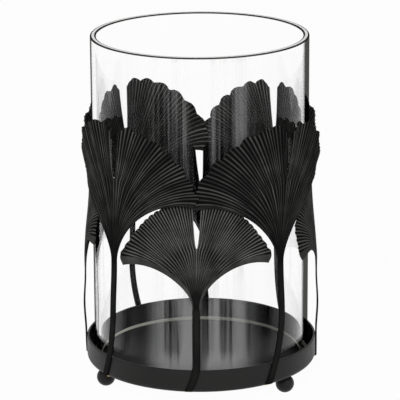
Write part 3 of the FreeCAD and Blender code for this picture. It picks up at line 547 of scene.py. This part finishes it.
    # The roll: arc length to angle, then onto the lantern
    arc = add(tree, "ShaderNodeMath", {0: leaning["X"], 1: sweep}, operation="SUBTRACT").outputs[0]
    angle = add(tree, "ShaderNodeMath", {0: arc, 1: 1 / TRAY_RADIUS, 2: size["Turn"]},
                operation="MULTIPLY_ADD").outputs[0]
    height = add(tree, "ShaderNodeMath", {0: size["Stem top"], 1: leaning["Y"]}, operation="ADD").outputs[0]
    height = add(tree, "ShaderNodeMath", {0: height, 1: fallen}, operation="SUBTRACT").outputs[0]
    forwards = add(tree, "ShaderNodeMath", {0: radius, 1: -1.0}, operation="MULTIPLY").outputs[0]
    rolled = add(tree, "ShaderNodeCombineXYZ", {"Y": forwards, "Z": height}).outputs[0]
    rolled = add(tree, "ShaderNodeVectorRotate", {"Vector": rolled, "Angle": angle},
                 rotation_type="Z_AXIS").outputs[0]
    rolled = add(tree, "ShaderNodeVectorMath", {0: rolled, "Scale": MM}, operation="SCALE").outputs[0]
    leaf = add(tree, "GeometryNodeSetPosition", {"Geometry": blank, "Position": rolled}).outputs[0]
    leaf = add(tree, "GeometryNodeRealizeInstances", {"Geometry": leaf}).outputs[0]
    leaf = add(tree, "GeometryNodeSetMaterial", {"Geometry": leaf, "Material": LEAF_COAT}).outputs[0]
    add(tree, "NodeGroupOutput", {"Leaf": leaf})
    return tree


# Pieces: edges sharper than an angle in degrees stay crisp, and a profile's long runs are held at their ends

CRISP_ANGLE = 40
LONG_RUN = 2
HOLD = 0.2


def finish_piece(piece, body, slot, *nodes):
    """Smooth faces with crisp edges, and the piece in its CAD node's place."""
    piece.data.shade_smooth()
    piece.data.set_sharp_from_angle(angle=math.radians(CRISP_ANGLE))
    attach(piece, body)
    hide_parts(*nodes)


def new_object(name, mesh):
    piece = bpy.data.objects.new(name, mesh)
    bpy.context.scene.collection.objects.link(piece)
    return piece


def make_leaf(node, tree, sizes):
    """One leaf, stamped by the tree, given the sheet's thickness and made a plain mesh."""
    piece = new_object("ginkgo_" + node, bpy.data.meshes.new("blank"))
    stamping = piece.modifiers.new("stamping", "NODES")
    stamping.node_group = tree
    for socket in tree.interface.items_tree:
        if socket.in_out == "INPUT":
            stamping[socket.identifier] = sizes[socket.name]
    sheet = piece.modifiers.new("sheet", "SOLIDIFY")
    sheet.thickness = SHEET * MM
    sheet.offset = 0
    evaluated = piece.evaluated_get(bpy.context.evaluated_depsgraph_get())
    mesh = bpy.data.meshes.new_from_object(evaluated)
    piece.modifiers.clear()
    piece.data = mesh
    finish_piece(piece, "stand", "black_coat", node)


def rounding(centre, radius, start, end, steps=6):
    """A round corner of a profile. Its angles are in degrees from outwards towards up."""
    places = []
    for step in range(steps + 1):
        turn = math.radians(start + (end - start) * step / steps)
        places.append((centre[0] + radius * math.cos(turn), centre[1] + radius * math.sin(turn)))
    return places


def held_flat(profile):
    """The profile with a place beside each end of its long runs, which keeps their shading straight."""
    places = []
    for start, end in zip(profile, profile[1:] + profile[:1]):
        places.append(start)
        run = math.dist(start, end)
        if run > LONG_RUN:
            for along in (HOLD / run, 1 - HOLD / run):
                places.append(tuple(a + (b - a) * along for a, b in zip(start, end)))
    return places


def lathe(name, profile, segments=192):
    """A closed profile of (radius, height) places, turned once about the lantern's axis."""
    shape = bmesh.new()
    turns = [2 * math.pi * step / segments for step in range(segments)]
    rings = []
    for radius, height in held_flat(profile):
        if radius == 0:
            rings.append([shape.verts.new((0, 0, height * MM))] * segments)
            continue
        rings.append([
            shape.verts.new((radius * MM * math.sin(turn), -radius * MM * math.cos(turn), height * MM))
            for turn in turns])
    for ring, following in zip(rings, rings[1:] + rings[:1]):
        for step in range(segments):
            after = (step + 1) % segments
            corners = dict.fromkeys((ring[step], ring[after], following[after], following[step]))
            if len(corners) > 2:
                shape.faces.new(list(corners))
    bmesh.ops.recalc_face_normals(shape, faces=shape.faces)
    mesh = bpy.data.meshes.new(name)
    shape.to_mesh(mesh)
    shape.free()
    return new_object(name, mesh)


def make_glass():
    """The tube. Its ground lower end has a frosted band on the upper part of its rounding, whose near-white
    is partly a painted highlight for a glint there. Its rim is satin between two polished corners, whose dark
    lines reach a little way onto the flat."""
    low = 10.6
    high = 179.1
    ground = 1.4
    soft = 0.6
    line = 0.25
    frosted_glint_start = low + 0.4 * ground
    flat = high - 0.01
    profile = rounding((GLASS_OUTER - ground, low + ground), ground, -90, 0)
    profile += rounding((GLASS_OUTER - soft, high - soft), soft, 0, 90)
    profile += [(GLASS_OUTER - soft - line, high), (GLASS_INNER + soft + line, high)]
    profile += rounding((GLASS_INNER + soft, high - soft), soft, 90, 180)
    profile += rounding((GLASS_INNER + ground, low + ground), ground, 180, 270)
    tube = lathe("glass_tube", profile)
    for material in (CLEAR_GLASS, FROSTED_GLINT_EDGE, POLISHED_CORNER, SAWN_RIM):
        tube.data.materials.append(material)
    half_wall = (GLASS_OUTER - GLASS_INNER) / 2
    for face in tube.data.polygons:
        off_middle = abs(face.center.xy.length / MM - (GLASS_INNER + half_wall))
        height = face.center.z / MM
        if frosted_glint_start < height < low + ground:
            face.material_index = 1
        elif height > flat and off_middle < half_wall - soft - line:
            face.material_index = 3
        elif height > high - soft:
            face.material_index = 2
    finish_piece(tube, "glass", "clear_glass", "glass_chimney")


def make_tray():
    """The pan with its raised middle, lacquered inside in a darker black that is painted shade."""
    sheet = 1.2
    underside = 9.4
    floor = underside + sheet
    inner = TRAY_RADIUS - sheet
    raised = 0.8
    corner = 2.5
    rim_round = 0.5
    bend = (TRAY_RADIUS - corner, underside + corner)
    rim_low = TRAY_RIM - rim_round
    # The slope at the raised middle's edge, as (radius, rise), under the sheet and on top of it
    slope_under = ((46.4, raised), (47.4, 0.0))
    slope_above = ((48.0, 0.0), (47.6, 0.2), (47.2, 0.65), (46.8, raised))
    profile = [(0, floor + raised), (0, underside + raised)]
    profile += [(radius, underside + rise) for radius, rise in slope_under]
    profile += rounding(bend, corner, -90, 0)
    profile += rounding((TRAY_RADIUS - rim_round, rim_low), rim_round, 0, 90)
    profile += rounding((inner + rim_round, rim_low), rim_round, 90, 180)
    profile += rounding(bend, corner - sheet, 0, -90)
    profile += [(radius, floor + rise) for radius, rise in slope_above]
    tray = lathe("tray_pan", profile)
    tray.data.materials.append(TRAY_COAT)
    tray.data.materials.append(SHADED_FLOOR_LACQUER)
    slack = 0.1
    for face in tray.data.polygons:
        middle = face.center
        inside = middle.xy.length < (inner + slack) * MM and middle.z > (floor - slack) * MM
        face.material_index = 1 if inside else 0
    finish_piece(tray, "stand", "black_coat", "tray")


ginkgo = leaf_tree()
for place, own in LARGE_PLACES.items():
    make_leaf("large_leaf_" + place, ginkgo, {**LARGE_LEAF, **own})
for place, own in SMALL_PLACES.items():
    make_leaf("small_leaf_" + place, ginkgo, {**SMALL_LEAF, **own})
make_glass()
make_tray()
for node in ("ball_foot_front_right", "ball_foot_front_left", "ball_foot_back", "foot_welds", "stem_welds"):
    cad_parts[node].data.materials.clear()
    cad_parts[node].data.materials.append(WELD_BEAD if node == "stem_welds" else TRAY_COAT)


# The floor, light and camera, in metres

def shows_white(tree):
    """Where the camera, gloss or glass shows the surroundings, with no matt surface on the way."""
    ray = add(tree, "ShaderNodeLightPath").outputs
    seen = add(tree, "ShaderNodeMath", {0: ray["Is Camera Ray"], 1: ray["Is Transmission Ray"]},
               operation="MAXIMUM").outputs[0]
    seen = add(tree, "ShaderNodeMath", {0: seen, 1: ray["Is Glossy Ray"]}, operation="MAXIMUM").outputs[0]
    direct = add(tree, "ShaderNodeMath", {0: ray["Diffuse Depth"], 1: 0.5}, operation="LESS_THAN").outputs[0]
    return add(tree, "ShaderNodeMath", {0: seen, 1: direct}, operation="MULTIPLY").outputs[0]


def make_floor():
    """A white paper floor, which shows a trace of the shadows."""
    half = 4.0
    whiteness = 0.97
    material, tree = new_material("floor_white_paper")
    share = add(tree, "ShaderNodeMath", {0: shows_white(tree), 1: whiteness}, operation="MULTIPLY").outputs[0]
    paper = add(tree, "ShaderNodeBsdfDiffuse", {"Color": linear("#d6d6d6")}).outputs[0]
    white = add(tree, "ShaderNodeEmission", {"Color": linear("#ffffff"), "Strength": 1.0}).outputs[0]
    mixed = add(tree, "ShaderNodeMixShader", {0: share, 1: paper, 2: white}).outputs[0]
    add(tree, "ShaderNodeOutputMaterial", {"Surface": mixed})
    mesh = bpy.data.meshes.new("floor")
    corners = [(-half, -half, 0), (half, -half, 0), (half, half, 0), (-half, half, 0)]
    mesh.from_pydata(corners, [], [(0, 1, 2, 3)])
    mesh.materials.append(material)
    new_object("floor", mesh)


def make_world():
    """Even surroundings, shown white as the floor is. They light matt surfaces more softly."""
    soft, full = 0.2, 1.0
    world = bpy.data.worlds.new("studio")
    world.use_nodes = True
    tree = world.node_tree
    tree.nodes.clear()
    strength = add(tree, "ShaderNodeMix", {0: shows_white(tree), 2: soft, 3: full}).outputs[0]
    white = add(tree, "ShaderNodeBackground", {"Color": linear("#ffffff"), "Strength": strength}).outputs[0]
    add(tree, "ShaderNodeOutputWorld", {"Surface": white})
    bpy.context.scene.world = world


def make_flag(name, x):
    """A black card beside the lantern, seen only in gloss. It keeps the glass dark over the leaves."""
    front, back, low, high = -0.06, 0.12, 0.06, 0.135
    material, tree = new_material("flag_black_felt")
    felt = add(tree, "ShaderNodeBsdfDiffuse", {"Color": linear("#0a0a0a")}).outputs[0]
    add(tree, "ShaderNodeOutputMaterial", {"Surface": felt})
    mesh = bpy.data.meshes.new(name)
    corners = [(x, front, low), (x, back, low), (x, back, high), (x, front, high)]
    mesh.from_pydata(corners, [], [(0, 1, 2, 3)])
    mesh.materials.append(material)
    flag = new_object(name, mesh)
    flag.visible_camera = False
    flag.visible_diffuse = False
    flag.visible_transmission = False
    flag.visible_shadow = False


def make_lamp(name, place, aim, width, height, watts, glints):
    """A soft lamp, which shows in gloss only where it may glint."""
    lamp = bpy.data.lights.new(name, "AREA")
    lamp.shape = "RECTANGLE"
    lamp.size = width
    lamp.size_y = height
    lamp.energy = watts
    holder = bpy.data.objects.new(name, lamp)
    holder.location = place
    holder.rotation_euler = (Vector(aim) - Vector(place)).to_track_quat("-Z", "Y").to_euler()
    # The glass already lets lamp light straight through, so bent rays don't count it again
    holder.visible_transmission = False
    holder.visible_glossy = glints
    bpy.context.scene.collection.objects.link(holder)


def make_camera():
    """The photograph's place: in front and a little above, with a long lens. Its angles are in degrees."""
    dip, heading, roll = 16.06, 0.0113, -0.302
    camera = bpy.data.cameras.new("camera")
    camera.sensor_width = 36.0
    camera.lens = 228.2
    camera.clip_end = 20.0
    holder = bpy.data.objects.new("camera", camera)
    holder.location = (0.0, -1.2433, 0.4504)
    holder.rotation_euler = Euler((math.radians(90 - dip), 0, math.radians(heading)), "XYZ")
    holder.rotation_euler.rotate_axis("Z", math.radians(roll))
    bpy.context.scene.collection.objects.link(holder)
    bpy.context.scene.camera = holder


make_floor()
make_world()
make_flag("flag_left", -0.16)
make_flag("flag_right", 0.16)
make_lamp("key_above", place=(-0.25, -1.0, 0.95), aim=(0, 0, 0.09),
          width=0.45, height=0.35, watts=12.0, glints=False)
make_lamp("fill_right", place=(0.8, -1.0, 0.5), aim=(0, 0, 0.1),
          width=0.3, height=0.6, watts=1.5, glints=True)
make_camera()
bpy.context.scene.view_settings.view_transform = "Standard"
